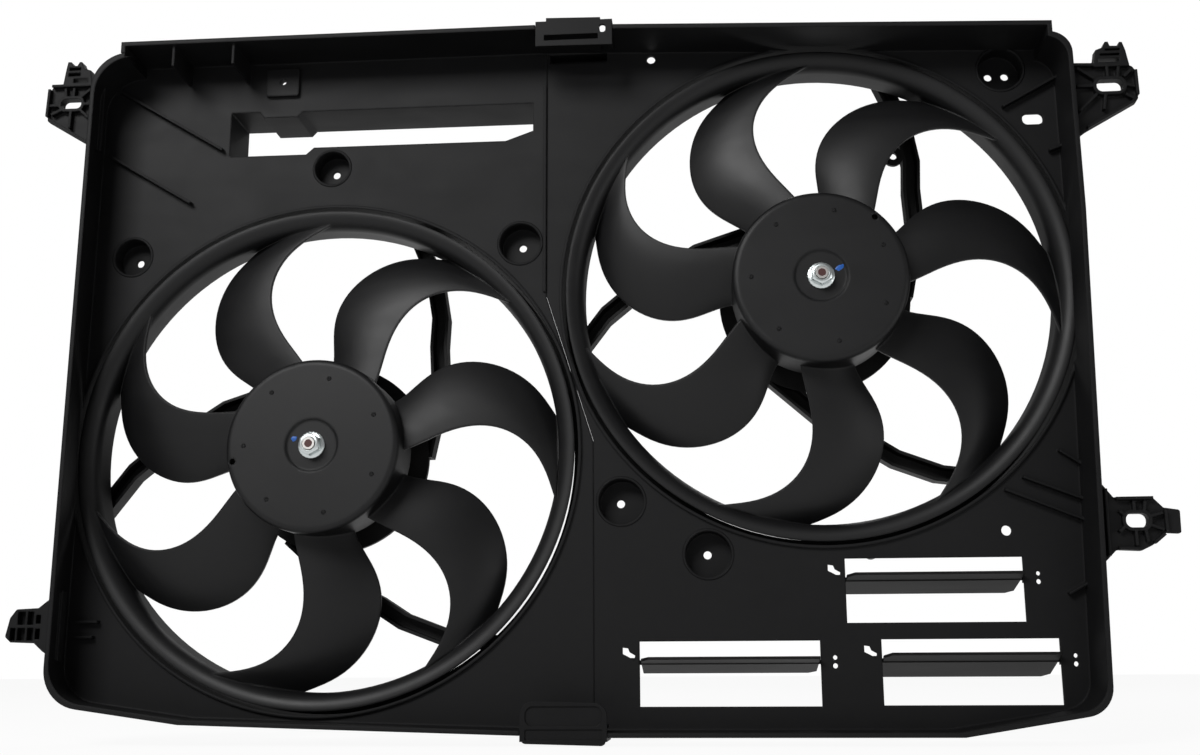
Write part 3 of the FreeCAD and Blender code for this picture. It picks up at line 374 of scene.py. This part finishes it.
def shaft_steel(tree, x, z):
    """Steel that is brown up to a wandering distance from the shaft's axis."""
    place = node(tree, "ShaderNodeNewGeometry", out="Position")
    off = node(tree, "ShaderNodeVectorMath", {"operation": "SUBTRACT"},
               v0=place, v1=(x * mm, 0, z * mm))
    flat = node(tree, "ShaderNodeVectorMath", {"operation": "MULTIPLY"}, v0=off, v1=(1, 0, 1))
    away = node(tree, "ShaderNodeVectorMath", {"operation": "LENGTH"}, out="Value", v0=flat)
    stain = cloud(tree, 1.2, 4.0)
    clean = (away + stain * rust_wander) > rust_radius
    return node(tree, "ShaderNodeBsdfPrincipled",
                Base_Color=between(tree, clean, rust_brown, steel_grey),
                Metallic=clean * 0.9 + 0.1, Roughness=0.5 - clean * 0.2 + stain * 0.1,
                Normal=grain(tree, 0.5, 0.05, 0.2))


for side, (x, z) in fan_axis.items():
    steel = material("shaft_steel_" + side, lambda tree: shaft_steel(tree, x, z))
    wear(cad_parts["motor_shaft_" + side], steel)

# The rotors: hub, blades and band in one shot of black nylon, smoother than the shroud, so the
# blades carry a soft sheen. Seven small round marks stand in a circle on each hub face, such as
# ejector pins leave.
rotor_black = material("rotor_black", moulded(
    (0.0028, 0.0028, 0.003), (0.007, 0.007, 0.0075), 0.3, 0.2,
    grain_size=0.7, gloss=0.26, rounding=2.2))
hub_face = 8
pip_count, first_pip, pip_circle = 7, 25.5, 45.5
pip_section = [
    # radius, and out from the hub's face
    (0.35, -0.05), (0.35, 0.075), (1.05, 0.25), (1.5, 0.1), (1.7, -0.05),
]
pip_profile = [(radius, hub_face - proud) for radius, proud in pip_section]
for side, (x, z) in fan_axis.items():
    wear(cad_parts["fan_rotor_" + side], rotor_black)
    corners, faces = [], []
    for count in range(pip_count):
        angle = math.radians(first_pip + count * 360 / pip_count)
        middle = (x + pip_circle * math.cos(angle), z + pip_circle * math.sin(angle))
        pip, walls = turned(middle, pip_profile, 20)
        faces += [tuple(corner + len(corners) for corner in wall) for wall in walls]
        corners += pip
    solid("hub_pips_" + side, corners, faces, rotor_black, "fan_" + side, 35)

# The flange nuts, which hold the rotors on the shafts: M8, cold formed and zinc plated, 13 mm
# across flats with a chamfered front, and a coned flange with a fluted rim.
nut_flats, nut_front, nut_back = 13, 1.7, 9.5
flange_top, flange_radius = 7.4, 8.95
bore, lead_in = 4.03, 0.6
past_corners = 7.6
flute_start, flute_depth, flutes = 8, 0.14, 24
nut_profile = [
    (bore, nut_back), (bore, nut_front + lead_in), (bore + lead_in, nut_front),
    (5.75, nut_front), (6.0, nut_front + 0.1), (6.9, nut_front + 0.55),
    (past_corners, nut_front + 1.0), (past_corners, flange_top - 0.5), (past_corners, flange_top),
    (7.7, flange_top + 0.15), (8.5, flange_top + 0.6),
    (flange_radius - 0.15, 8.1), (flange_radius, 8.4), (flange_radius, 9.2),
    (flange_radius - 0.2, nut_back),
]


def nut_radius(radius, y, angle):
    """Trim the hexagon's flats into the turned profile, and flute the flange's rim."""
    if y > flute_start and radius > flange_radius - 0.5:
        return radius - flute_depth * (0.5 + 0.5 * math.cos(flutes * angle))
    if radius <= bore + 1 or y > flange_top:
        return radius
    within = (angle + math.pi / 6) % (math.pi / 3) - math.pi / 6
    return min(radius, nut_flats / 2 / math.cos(within))


for side, centre in fan_axis.items():
    corners, faces = turned(centre, nut_profile, 144, nut_radius)
    nut = solid("flange_nut_" + side, corners, faces, finishes["bright"],
                "fan_" + side, 25)
    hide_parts("fan_nut_" + side)


# The paint dabs beside the nuts: a touch of blue marking paint, put on by hand once the nut was
# tight, thick in the middle and thin at its ragged edge.
def paint(tree):
    """Blue paint, streaked by the brush."""
    streaks = cloud(tree, 1.4, 3.0)
    return node(tree, "ShaderNodeBsdfPrincipled",
                Base_Color=between(tree, streaks, (0.006, 0.05, 0.24), (0.015, 0.12, 0.45)),
                Roughness=streaks * 0.2 + 0.3, Specular_IOR_Level=0.4,
                Normal=grain(tree, 0.8, 0.1, 0.1))


marking_blue = material("marking_blue", paint)
dish_floor = 9.5
dabs = {
    # middle of the dab from the axis, half length, half width, lie in degrees
    "left": ((-12.2, 4.6), 2.0, 1.7, 20),
    "right": ((12.4, 5.4), 3.2, 1.7, 30),
}
dab_height, dab_steps = 0.22, 28
dab_rings = [
    # share of the way out, and height over the dish
    (0.55, dab_height * 0.9), (0.9, dab_height * 0.55), (1, -0.02),
]


def ragged(angle):
    """How far the dab's edge reaches at an angle, beside a true ellipse."""
    return (1 + 0.1 * math.sin(3 * angle + 1) + 0.07 * math.sin(5 * angle)
            + 0.04 * math.sin(9 * angle + 2))


for side, (middle, half_length, half_width, lie) in dabs.items():
    x, z = fan_axis[side][0] + middle[0], fan_axis[side][1] + middle[1]
    lie = math.radians(lie)
    corners = [(x, dish_floor - dab_height, z)]
    for share, height in dab_rings:
        for step in range(dab_steps):
            angle = 2 * math.pi * step / dab_steps
            along = half_length * share * ragged(angle) * math.cos(angle)
            across = half_width * share * ragged(angle) * math.sin(angle)
            corners.append((x + along * math.cos(lie) - across * math.sin(lie),
                            dish_floor - height,
                            z + along * math.sin(lie) + across * math.cos(lie)))
    faces = []
    for step in range(dab_steps):
        on = (step + 1) % dab_steps
        faces.append((0, 1 + step, 1 + on))
        for inner in (1, 1 + dab_steps):
            outer = inner + dab_steps
            faces.append((inner + step, outer + step, outer + on, inner + on))
    solid("paint_dab_" + side, corners, faces, marking_blue, "fan_" + side, 60)

# The ram air flaps: thin flat mouldings with two opposite corners cut off. Each swings on a
# round pivot along its hinge line, whose ends are held in the shroud beside the window.
flap_black = material("flap_black", moulded(
    (0.003, 0.003, 0.003), (0.009, 0.0085, 0.0085), 0.46, 0.12, gloss=0.12))
for flap in ("flap_upper", "flap_lower_left", "flap_lower_right"):
    wear(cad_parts[flap], flap_black)
